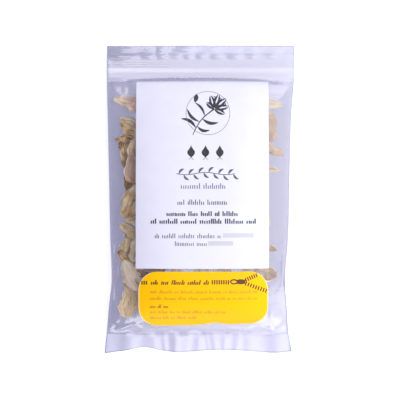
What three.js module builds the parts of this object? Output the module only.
// A clear press-to-close pouch of dried lily bulb scales, lying on its back.
//
// Millimetres, +Z up. X runs across the pouch, and +Y runs up it from the bottom seal to the
// top seal. The origin is the middle of the pouch's box, on the surface that it lies on.

import * as THREE from "three";

const { clamp, degToRad, lerp, smoothstep } = THREE.MathUtils;

// ---- driving dimensions of the pouch ----------------------------------------------------

const GAP = 0.3; // between two pieces that touch
const FILM = 0.15; // one sheet of film

const POUCH_TOP = 123; // the top edge
const TOP_SEAL_FOOT = 119; // below here the two sheets part to hold the zip
const TAPE_TOP = 113.2; // the zip's tapes
const TAPE_FOOT = 98;
const ZIP_LINE = 103.2; // the middle of the pressed profile
const SHOULDER = 86; // below the steep rise from the zip
const BELLY_FOOT = -76; // where the filled part starts to fall to the bottom seal
const SEAL_TOP = -107.5; // the heat seal, down to the bottom edge
const POUCH_FOOT = -121; // its mean bottom edge

const SIDE_WELD = 1.6; // width of the welded rim at each side
const SEAM_LOW = 3.5; // height of the seam where the pouch is flat
const SEAM_RISE = 0.25; // how far the filled part lifts the seam, of its thickness
const FRONT_SHARE = 0.62; // how far the front sheet domes over the seam, of the thickness
const BACK_SHARE = 0.5; // how far the back sheet would sink below it
const BOXINESS = 3.2; // 2 is a parabola across the pouch, and more is flatter with fuller sides

// The pouch pulls in at the sides where it is filled most: [y, left edge, right edge].
const SIDES = [
  [-123, -75.7, 73.6],
  [-105, -73.9, 70.9],
  [-84, -71.9, 69.3],
  [-66, -69.9, 68.0],
  [-30, -70.9, 70.5],
  [20, -72.0, 71.7],
  [70, -73.2, 73.3],
  [96, -73.9, 75.5],
  [110, -73.9, 75.7],
  [123, -73.9, 75.7],
];

// Its thickness over what it lies on: [y, thickness].
const FILL = [
  [-107.5, 0],
  [-103, 8],
  [-95, 18],
  [-82, 26.5],
  [-66, 30],
  [-48, 30],
  [-20, 28],
  [15, 25],
  [55, 20.5],
  [77, 16],
  [86, 13],
  [92, 9],
  [97, 0],
];

// The bottom edge isn't straight, because the seal buckles: [x, y].
const BOTTOM_EDGE = [
  [-75.7, -123],
  [-60, -120.6],
  [-43.7, -117.6],
  [-30, -120.3],
  [-19.9, -121.5],
  [15.7, -119.9],
  [37, -120.8],
  [60, -122.5],
  [73.6, -121.5],
];

const FLUTE = 0.63; // height of the buckles in the bottom seal
const FLUTE_PITCH = 22;
const FLUTE_START = -101.5; // they grow from here down to FLUTE_FULL
const FLUTE_FULL = -111.5;

// ---- driving dimensions of the label, the sticker and the zip ----------------------------

const LABEL = { width: 105, height: 148.3, x: 2.4, top: 94, paper: 0.2 };
const STICKER = { width: 102.4, height: 43.6, x: 3.2, top: -56.6, paper: 0.12, corner: 15 };
const PAPER_COLUMNS = 14; // facets across each
const PAPER_LIFT = 0.4; // over the front sheet, so that the facets of both keep clear

const TAPE = 0.25; // thickness of each zip tape
const TAPE_HALF_GAP = 0.9; // from the zip's middle plane to each tape
const RIB = { height: 0.25, width: 0.5, pitch: 1.7, count: 5, lowest: 105.6 };
const STEM = 0.5; // width of the male profile's stem
const HEAD = { width: 1.3, top: -0.1, foot: -0.6 }; // its arrow head, by height in the zip
const JAW = { inside: 1.9, outside: 2.9, mouth: 1.1, top: 0.55, lip: 0.35 };

// ---- small helpers -----------------------------------------------------------------------

// A smooth curve through [place, value, ...] rows, read in the column that is asked for.
function through(rows, column = 1) {
  const places = rows.map((row) => row[0]);
  const values = rows.map((row) => row[column]);
  const curve = new THREE.CubicInterpolant(places, values, 1);
  const low = places[0];
  const high = places[places.length - 1];
  return (place) => curve.evaluate(clamp(place, low, high))[0];
}

// Even steps from one value to another, without the first one.
function steps(from, to, count) {
  return Array.from({ length: count }, (_, k) => lerp(from, to, (k + 1) / count));
}

// Pseudo-random numbers from 0 to 1 that are the same each time.
function seeded(seed) {
  let state = seed;
  return () => {
    state = (state * 16807) % 2147483647;
    return state / 2147483647;
  };
}

function named(name, geometry, colour, roughness, opacity = 1) {
  geometry.computeVertexNormals();
  const material = new THREE.MeshStandardMaterial({
    color: colour,
    roughness,
    metalness: 0,
    opacity,
    transparent: opacity < 1,
  });
  const mesh = new THREE.Mesh(geometry, material);
  mesh.name = name;
  return mesh;
}

function bodyFrom(points, faces) {
  const geometry = new THREE.BufferGeometry().setFromPoints(points);
  geometry.setIndex(faces.flat());
  return geometry;
}

// A thin closed body between two grids of points. Rows run down the pouch and columns run
// across it to the right, and the upper grid is the one further up Z.
function sheetBody(lower, upper) {
  const last = lower.length - 1;
  const right = lower[0].length - 1;
  const across = right + 1;
  const points = [...upper.flat(), ...lower.flat()];
  const up = (row, column) => row * across + column;
  const down = (row, column) => up(row, column) + (last + 1) * across;
  const faces = [];
  for (let row = 0; row < last; row++) {
    for (let column = 0; column < right; column++) {
      const [a, b] = [up(row, column), up(row, column + 1)];
      const [c, d] = [up(row + 1, column), up(row + 1, column + 1)];
      faces.push([a, c, b], [b, c, d]);
      const [e, f] = [down(row, column), down(row, column + 1)];
      const [g, h] = [down(row + 1, column), down(row + 1, column + 1)];
      faces.push([e, f, g], [f, h, g]);
    }
  }
  // The rim runs once round the sheet, with the sheet on its left.
  const rim = [];
  for (let row = 0; row < last; row++) rim.push([row, 0]);
  for (let column = 0; column < right; column++) rim.push([last, column]);
  for (let row = last; row > 0; row--) rim.push([row, right]);
  for (let column = right; column > 0; column--) rim.push([0, column]);
  rim.forEach((here, k) => {
    const next = rim[(k + 1) % rim.length];
    faces.push([up(...here), down(...here), up(...next)]);
    faces.push([up(...next), down(...here), down(...next)]);
  });
  return bodyFrom(points, faces);
}

// ---- shape of the pouch ------------------------------------------------------------------

const leftEdge = through(SIDES, 1);
const rightEdge = through(SIDES, 2);
const bottomEdge = through(BOTTOM_EDGE);
const fillCurve = through(FILL);

function thickness(y) {
  return y > SEAL_TOP ? Math.max(0, fillCurve(y)) : 0;
}

// 0 down the middle of the pouch, and 1 from each side weld outwards.
function outwards(x, y) {
  const middle = (leftEdge(y) + rightEdge(y)) / 2;
  const half = (rightEdge(y) - leftEdge(y)) / 2 - SIDE_WELD;
  return clamp(Math.abs(x - middle) / half, 0, 1);
}

function flutes(x, y) {
  const wave = (2 * Math.PI * x) / FLUTE_PITCH;
  const depth = FLUTE * smoothstep(-y, -FLUTE_START, -FLUTE_FULL);
  return depth * (Math.sin(wave + 0.6) + 0.5 * Math.sin(1.7 * wave + 2));
}

function seamHeight(x, y) {
  return SEAM_LOW + SEAM_RISE * thickness(y) + flutes(x, y);
}

// Half the space between the two sheets at the side weld: the zip holds them apart.
function halfGap(y) {
  const aboveZip = 1 - smoothstep(y, TAPE_TOP + 0.8, TOP_SEAL_FOOT);
  const belowZip = smoothstep(y, SHOULDER, TAPE_FOOT - 1);
  const zipHalf = TAPE_HALF_GAP + TAPE + GAP;
  return lerp(GAP / 2, zipHalf, aboveZip * belowZip);
}

function frontInside(x, y) {
  const dome = FRONT_SHARE * thickness(y) * (1 - outwards(x, y) ** BOXINESS);
  return seamHeight(x, y) + halfGap(y) + dome;
}

function frontOutside(x, y) {
  return frontInside(x, y) + FILM;
}

function backOutside(x, y) {
  const dish = BACK_SHARE * thickness(y) * (1 - outwards(x, y) ** BOXINESS);
  return Math.max(0, seamHeight(x, y) - halfGap(y) - dish - FILM);
}

function backInside(x, y) {
  return backOutside(x, y) + FILM;
}

const FILM_ROWS = [
  POUCH_TOP,
  ...steps(POUCH_TOP, TOP_SEAL_FOOT, 1),
  ...steps(TOP_SEAL_FOOT, TAPE_TOP + 0.8, 2),
  ...steps(TAPE_TOP + 0.8, TAPE_FOOT - 1, 3),
  ...steps(TAPE_FOOT - 1, SHOULDER, 4),
  ...steps(SHOULDER, BELLY_FOOT, 14),
  ...steps(BELLY_FOOT, SEAL_TOP, 7),
  ...steps(SEAL_TOP, POUCH_FOOT, 3),
];
const HALF_COLUMNS = [0.16, 0.32, 0.48, 0.62, 0.74, 0.84, 0.92, 0.978, 1];
const FILM_COLUMNS = [...HALF_COLUMNS.toReversed().map((s) => -s), 0, ...HALF_COLUMNS];

// A place on the pouch's outline grid. The rows of the seal follow the buckled bottom edge.
function onPouch(row, column) {
  const x = lerp(leftEdge(row), rightEdge(row), (column + 1) / 2);
  const intoSeal = clamp((SEAL_TOP - row) / (SEAL_TOP - POUCH_FOOT), 0, 1);
  if (intoSeal === 0) return [x, row];
  const [bottomLeft, bottomRight] = [BOTTOM_EDGE.at(0)[0], BOTTOM_EDGE.at(-1)[0]];
  const bottomX = lerp(bottomLeft, bottomRight, (column + 1) / 2);
  return [lerp(x, bottomX, intoSeal ** 2), lerp(SEAL_TOP, bottomEdge(bottomX), intoSeal)];
}

function pouchSheet(lowHeight, highHeight) {
  const grid = (height) =>
    FILM_ROWS.map((row) =>
      FILM_COLUMNS.map((column) => {
        const [x, y] = onPouch(row, column);
        return new THREE.Vector3(x, y, height(x, y));
      }),
    );
  return sheetBody(grid(lowHeight), grid(highHeight));
}

// ---- the zip -----------------------------------------------------------------------------

// A profile of [y, z] corners, drawn out along the whole width of the zip.
function drawnAcross(corners) {
  const shape = new THREE.Shape(corners.map(([y, z]) => new THREE.Vector2(y, z)));
  const start = leftEdge(ZIP_LINE) + GAP;
  const depth = rightEdge(ZIP_LINE) - GAP - start;
  const geometry = new THREE.ExtrudeGeometry(shape, { depth, bevelEnabled: false });
  const turn = new THREE.Matrix4().makeBasis(
    new THREE.Vector3(0, 1, 0),
    new THREE.Vector3(0, 0, 1),
    new THREE.Vector3(1, 0, 0),
  );
  geometry.applyMatrix4(turn);
  geometry.translate(start, 0, SEAM_LOW);
  return geometry;
}

// The tape under the front sheet, with fine grip ribs above the zip and the male profile.
function zipRibProfile() {
  const low = TAPE_HALF_GAP;
  const high = TAPE_HALF_GAP + TAPE;
  const underside = [];
  for (let k = 0; k < RIB.count; k++) {
    const y = RIB.lowest + k * RIB.pitch;
    underside.push([y, low], [y, low - RIB.height]);
    underside.push([y + RIB.width, low - RIB.height], [y + RIB.width, low]);
  }
  return [
    [TAPE_FOOT, high],
    [TAPE_FOOT, low],
    [ZIP_LINE - STEM / 2, low],
    [ZIP_LINE - STEM / 2, HEAD.top],
    [ZIP_LINE - HEAD.width / 2, HEAD.top],
    [ZIP_LINE - STEM / 2, HEAD.foot],
    [ZIP_LINE + STEM / 2, HEAD.foot],
    [ZIP_LINE + HEAD.width / 2, HEAD.top],
    [ZIP_LINE + STEM / 2, HEAD.top],
    [ZIP_LINE + STEM / 2, low],
    ...underside,
    [TAPE_TOP, low],
    [TAPE_TOP, high],
  ];
}

// The tape over the back sheet, with two jaws whose lips close behind the male head.
function zipChannelProfile() {
  const low = -TAPE_HALF_GAP - TAPE;
  const high = -TAPE_HALF_GAP;
  const lipFoot = JAW.top - JAW.lip;
  const right = [
    [ZIP_LINE + JAW.inside / 2, high],
    [ZIP_LINE + JAW.inside / 2, lipFoot],
    [ZIP_LINE + JAW.mouth / 2, lipFoot],
    [ZIP_LINE + JAW.mouth / 2, JAW.top],
    [ZIP_LINE + JAW.outside / 2, JAW.top],
    [ZIP_LINE + JAW.outside / 2, high],
  ];
  const left = right.toReversed().map(([y, z]) => [2 * ZIP_LINE - y, z]);
  return [
    [TAPE_FOOT, low],
    [TAPE_TOP, low],
    [TAPE_TOP, high],
    ...right.toReversed(),
    ...left.toReversed(),
    [TAPE_FOOT, high],
  ];
}

// ---- the label and the sticker -----------------------------------------------------------

// A paper piece lying on the front sheet. Each row is [y, how far it is inset at each side].
function paperBody(piece, rows, columns) {
  const grid = (lift) =>
    rows.map(([y, inset]) => {
      const half = piece.width / 2 - inset;
      return [-1, ...steps(-1, 1, columns)].map((side) => {
        const x = piece.x + side * half;
        return new THREE.Vector3(x, y, frontOutside(x, y) + PAPER_LIFT + lift);
      });
    });
  return sheetBody(grid(0), grid(piece.paper));
}

function labelBody() {
  const { top, height } = LABEL;
  const bent = 10; // its upper end bends down towards the zip
  const rows = [top, ...steps(top, top - bent, 5), ...steps(top - bent, top - height, 12)];
  return paperBody(
    LABEL,
    rows.map((y) => [y, 0]),
    PAPER_COLUMNS,
  );
}

function stickerBody() {
  const { corner, top, height } = STICKER;
  const rounds = [0, 0.3, 0.6, 0.9, 1.2, Math.PI / 2];
  const above = rounds.map((a) => [
    top - corner * (1 - Math.cos(a)),
    corner * (1 - Math.sin(a)),
  ]);
  const below = above.toReversed().map(([y, inset]) => [2 * top - height - y, inset]);
  const between = steps(top - corner, top - height + corner, 3).slice(0, -1);
  const rows = [...above, ...between.map((y) => [y, 0]), ...below];
  return paperBody(STICKER, rows, PAPER_COLUMNS);
}

// ---- one dried bulb scale ----------------------------------------------------------------

const STATIONS = [0.05, 0.17, 0.34, 0.52, 0.7, 0.86, 0.96]; // along it, between its two ends
const SECTION = [-1, -0.6, 0, 0.6, 1]; // across it, from rim to rim
const BLUNT = 0.38; // how slowly it widens from its base: less is blunter
const POINTED = 0.55; // how slowly it narrows to its tip
const BROADEST = BLUNT / (BLUNT + POINTED);
const BROAD = BROADEST ** BLUNT * (1 - BROADEST) ** POINTED;

// A point of a scale's middle surface, u from base to tip and v from rim to rim. The scale is
// curled across by its cup, bent along by its bow and wrung by its twist, all in degrees.
function onScale(scale, u, v) {
  const half = (scale.width / 2) * ((u ** BLUNT * (1 - u) ** POINTED) / BROAD);
  const curl = scale.width / degToRad(scale.cup);
  const across = (half / curl) * v * (0.75 + 0.25 * v * v); // it curls in more at its rims
  const point = new THREE.Vector3(curl * Math.sin(across), 0, curl * (1 - Math.cos(across)));
  point.z += scale.wave * Math.abs(v) ** 3 * Math.sin(4 * Math.PI * u + scale.length);
  point.applyAxisAngle(new THREE.Vector3(0, 1, 0), degToRad(scale.twist) * (u - 0.5));
  const bend = scale.length / degToRad(scale.bow);
  const along = degToRad(scale.bow) * (u - 0.5);
  return new THREE.Vector3(
    point.x,
    (bend - point.z) * Math.sin(along),
    bend - (bend - point.z) * Math.cos(along),
  );
}

// The same point, raised by a share of the thickness there: 1 for the hollow face, -1 for the
// back. The scale is thickest along its middle and runs out to nothing at its rim.
function onFace(scale, u, v, side) {
  const small = 0.01;
  const alongU = onScale(scale, u + small, v).sub(onScale(scale, u - small, v));
  const alongV = onScale(scale, u, v + small).sub(onScale(scale, u, v - small));
  const normal = alongV.cross(alongU).normalize();
  const thick = scale.thick * (1 - Math.abs(v) ** 2.4) * Math.sin(Math.PI * u ** 0.8) ** 0.5;
  return onScale(scale, u, v).addScaledVector(normal, (side * thick) / 2);
}

function scaleBody(scale) {
  const inner = SECTION.slice(1, -1).toReversed();
  const points = [onScale(scale, 0, 0)];
  for (const u of STATIONS) {
    points.push(...SECTION.map((v) => onFace(scale, u, v, 1)));
    points.push(...inner.map((v) => onFace(scale, u, v, -1)));
  }
  points.push(onScale(scale, 1, 0));
  const round = SECTION.length + inner.length;
  const tip = points.length - 1;
  const faces = [];
  for (let k = 0; k < round; k++) {
    const next = (k + 1) % round;
    const onHollow = k < SECTION.length - 1;
    faces.push([0, 1 + next, 1 + k]);
    for (let ring = 0; ring < STATIONS.length - 1; ring++) {
      const here = 1 + ring * round;
      const [a, b] = [here + k, here + next];
      const [c, d] = [a + round, b + round];
      // The back is split as the hollow face over it is, so that the thin rims don't cross.
      if (onHollow) faces.push([a, b, c], [b, d, c]);
      else faces.push([a, b, d], [a, d, c]);
    }
    faces.push([tip - round + k, tip - round + next, tip]);
  }
  const geometry = bodyFrom(points, faces);
  geometry.rotateY(degToRad(scale.roll) + (scale.hollow === "down" ? Math.PI : 0));
  geometry.rotateX(degToRad(scale.pitch));
  geometry.rotateZ(degToRad(scale.turn - 90));
  return geometry;
}

// ---- how the scales lie on one another ---------------------------------------------------

// The corners, faces and edges of a body, with its box, ready to be measured.
function measured(geometry) {
  const place = geometry.getAttribute("position");
  const corners = [];
  for (let k = 0; k < place.count; k++) {
    corners.push(new THREE.Vector3().fromBufferAttribute(place, k));
  }
  const index = geometry.getIndex().array;
  const faces = [];
  const edges = [];
  for (let k = 0; k < index.length; k += 3) {
    const face = [index[k], index[k + 1], index[k + 2]];
    faces.push(face.map((c) => corners[c]));
    face.forEach((c, side) => {
      const next = face[(side + 1) % 3];
      if (c < next) edges.push([corners[c], corners[next]]);
    });
  }
  const plan = corners.map((p) => new THREE.Vector2(p.x, p.y));
  return { corners, faces, edges, box: new THREE.Box2().setFromPoints(plan) };
}

function apartInPlan(points, box) {
  const xs = points.map((p) => p.x);
  const ys = points.map((p) => p.y);
  return (
    Math.max(...xs) < box.min.x ||
    Math.min(...xs) > box.max.x ||
    Math.max(...ys) < box.min.y ||
    Math.min(...ys) > box.max.y
  );
}

// The height of a face at a place in plan, or null where the face isn't there.
function faceHeight([a, b, c], x, y) {
  const area = (b.x - a.x) * (c.y - a.y) - (c.x - a.x) * (b.y - a.y);
  if (Math.abs(area) < 1e-9) return null;
  const wb = ((x - a.x) * (c.y - a.y) - (c.x - a.x) * (y - a.y)) / area;
  const wc = ((b.x - a.x) * (y - a.y) - (x - a.x) * (b.y - a.y)) / area;
  if (wb < 0 || wc < 0 || wb + wc > 1) return null;
  return a.z + wb * (b.z - a.z) + wc * (c.z - a.z);
}

// How far edge ab is above edge cd where the two cross in plan, or null.
function crossingHeight([a, b], [c, d]) {
  const across = (b.x - a.x) * (d.y - c.y) - (b.y - a.y) * (d.x - c.x);
  if (Math.abs(across) < 1e-12) return null;
  const s = ((c.x - a.x) * (d.y - c.y) - (c.y - a.y) * (d.x - c.x)) / across;
  const t = ((c.x - a.x) * (b.y - a.y) - (c.y - a.y) * (b.x - a.x)) / across;
  if (s < 0 || s > 1 || t < 0 || t > 1) return null;
  return lerp(a.z, b.z, s) - lerp(c.z, d.z, t);
}

// The least height of the upper body over the lower one, where one is above the other.
function clearance(upper, lower) {
  if (!upper.box.intersectsBox(lower.box)) return Infinity;
  const shared = upper.box.clone().intersect(lower.box);
  const near = (list) => list.filter((points) => !apartInPlan(points, shared));
  const [upperFaces, lowerFaces] = [near(upper.faces), near(lower.faces)];
  const [upperEdges, lowerEdges] = [near(upper.edges), near(lower.edges)];
  let least = Infinity;
  for (const corner of upper.corners.filter((p) => !apartInPlan([p], shared))) {
    for (const face of lowerFaces) {
      const height = faceHeight(face, corner.x, corner.y);
      if (height !== null) least = Math.min(least, corner.z - height);
    }
  }
  for (const corner of lower.corners.filter((p) => !apartInPlan([p], shared))) {
    for (const face of upperFaces) {
      const height = faceHeight(face, corner.x, corner.y);
      if (height !== null) least = Math.min(least, height - corner.z);
    }
  }
  for (const high of upperEdges) {
    for (const low of lowerEdges) {
      const height = crossingHeight(high, low);
      if (height !== null) least = Math.min(least, height);
    }
  }
  return least;
}

// ---- the scales in the pouch -------------------------------------------------------------

const REST_GAP = 0.4; // measured straight up, so that it is about 0.3 across a slope
const USUAL = { thick: 3, wave: 0.5, twist: 12, bow: 40, roll: 0, pitch: 0, hollow: "up" };

// Those that show beside the label and the sticker, in the order that they lie on each other.
const SHOWN = [
  // up the left side
  { x: -58.5, y: -36, turn: 60, length: 14, width: 9, cup: 60 },
  { x: -59.5, y: -46.5, turn: -50, length: 15, width: 11, cup: 150, bow: 30 },
  { x: -54.2, y: -26, turn: -45, length: 22, width: 13, cup: 90, hollow: "down" },
  { x: -50.8, y: -40, turn: 80, length: 20, width: 12, cup: 80, hollow: "down" },
  { x: -57, y: -82.3, turn: 84, length: 25, width: 17, cup: 100 },
  { x: -54, y: -60, turn: 115, length: 27, width: 18, cup: 70, hollow: "down" },
  { x: -51.8, y: -16, turn: 10, length: 13, width: 8, cup: 80 },
  { x: -53.5, y: -1.5, turn: 70, length: 29, width: 20, cup: 80, hollow: "down" },
  { x: -59.8, y: 36, turn: 98, length: 22, width: 8, cup: 90, roll: -15, thick: 1.6 },
  { x: -59.5, y: 48.6, turn: 188, length: 16, width: 8, cup: 100, thick: 1.6 },
  { x: -51.5, y: 59, turn: 155, length: 28, width: 15, cup: 80, hollow: "down" },
  { x: -50.8, y: 32.5, turn: 82, length: 40, width: 20, cup: 120, bow: 35 },
  { x: -51.5, y: 76.6, turn: 168, length: 35, width: 13, cup: 70, thick: 1.8, bow: 25 },
  // up the right side
  { x: 47.5, y: -57.5, turn: -12, length: 30, width: 18, cup: 90 },
  { x: 52.5, y: -38, turn: -14, length: 21, width: 10, cup: 120 },
  { x: 51, y: -13.6, turn: 88, length: 21, width: 14, cup: 80, hollow: "down" },
  { x: 54.5, y: 25, turn: -8, length: 21, width: 7, cup: 90, roll: 15 },
  { x: 55.5, y: 40, turn: -20, length: 26, width: 11, cup: 80, hollow: "down" },
  { x: 55.5, y: 58.5, turn: -84, length: 26, width: 18, cup: 110, hollow: "down" },
  { x: 52, y: 77, turn: -6, length: 29, width: 11, cup: 70, thick: 1.8, bow: 25 },
];

// The rest lie on top, behind the label and the sticker: none reaches out of this range.
const HIDDEN = { count: 30, tries: 7, seed: 11, left: -50, right: 54, foot: -97, top: 86 };

// Drops a scale onto what lies below it, and returns null if it is too tall for the pouch.
function settled(scale, below, lid) {
  const geometry = scaleBody({ ...USUAL, ...scale }).translate(scale.x, scale.y, 100);
  const high = measured(geometry);
  const drop = Math.min(...below.map((body) => clearance(high, body)));
  geometry.translate(0, 0, REST_GAP - drop);
  const body = measured(geometry);
  return clearance(lid, body) < GAP ? null : { geometry, body };
}

function pickHidden(random) {
  const between = (low, high) => lerp(low, high, random());
  return {
    x: between(HIDDEN.left, HIDDEN.right),
    y: between(HIDDEN.foot, HIDDEN.top),
    turn: between(0, 360),
    length: between(27, 42),
    width: between(15, 23),
    cup: between(60, 140),
    bow: between(20, 50),
    twist: between(-25, 25),
    roll: between(-12, 12),
    pitch: between(-8, 8),
    hollow: random() < 0.5 ? "up" : "down",
  };
}

function staysHidden({ min, max }) {
  const { left, right, foot, top } = HIDDEN;
  return min.x > left && max.x < right && min.y > foot && max.y < top;
}

// The lowest lying of a few that fit, so that the scales spread evenly, as when shaken level.
function lowestHidden(random, lying, lid) {
  const fits = [];
  while (fits.length < HIDDEN.tries) {
    const piece = settled(pickHidden(random), lying, lid);
    if (piece && staysHidden(piece.body.box)) fits.push(piece);
  }
  const top = (piece) => Math.max(...piece.body.corners.map((corner) => corner.z));
  return fits.reduce((low, piece) => (top(piece) < top(low) ? piece : low));
}

function addScales(group, backSheet, frontSheet) {
  const lid = measured(frontSheet);
  const lying = [measured(backSheet)];
  const scales = [];
  const keep = (piece) => {
    lying.push(piece.body);
    scales.push(piece.geometry);
  };
  for (const scale of SHOWN) {
    const piece = settled(scale, lying, lid);
    if (!piece) throw new Error(`no room for the scale at ${scale.x}, ${scale.y}`);
    keep(piece);
  }
  const random = seeded(HIDDEN.seed);
  for (let k = 0; k < HIDDEN.count; k++) keep(lowestHidden(random, lying, lid));
  const tans = [0xd9c6a0, 0xcdb68c, 0xe2d3b4, 0xc4a87c];
  scales.forEach((geometry, k) => {
    const name = `scale_${String(k + 1).padStart(2, "0")}`;
    group.add(named(name, geometry, tans[k % tans.length], 0.55));
  });
}

// ---- the whole pouch ---------------------------------------------------------------------

const CLEAR = 0xd9d9ee;

const pouch = new THREE.Group();
pouch.name = "pouch";

const frontSheet = pouchSheet(frontInside, frontOutside);
const backSheet = pouchSheet(backOutside, backInside);
pouch.add(named("front_film", frontSheet, CLEAR, 0.15, 0.3));
pouch.add(named("back_film", backSheet, CLEAR, 0.15, 0.3));
pouch.add(named("zip_rib", drawnAcross(zipRibProfile()), CLEAR, 0.3, 0.6));
pouch.add(named("zip_channel", drawnAcross(zipChannelProfile()), CLEAR, 0.3, 0.6));
pouch.add(named("paper_label", labelBody(), 0xf4f4fa, 0.8));
pouch.add(named("yellow_sticker", stickerBody(), 0xffd21a, 0.4));
addScales(pouch, backSheet, frontSheet);

export default pouch;
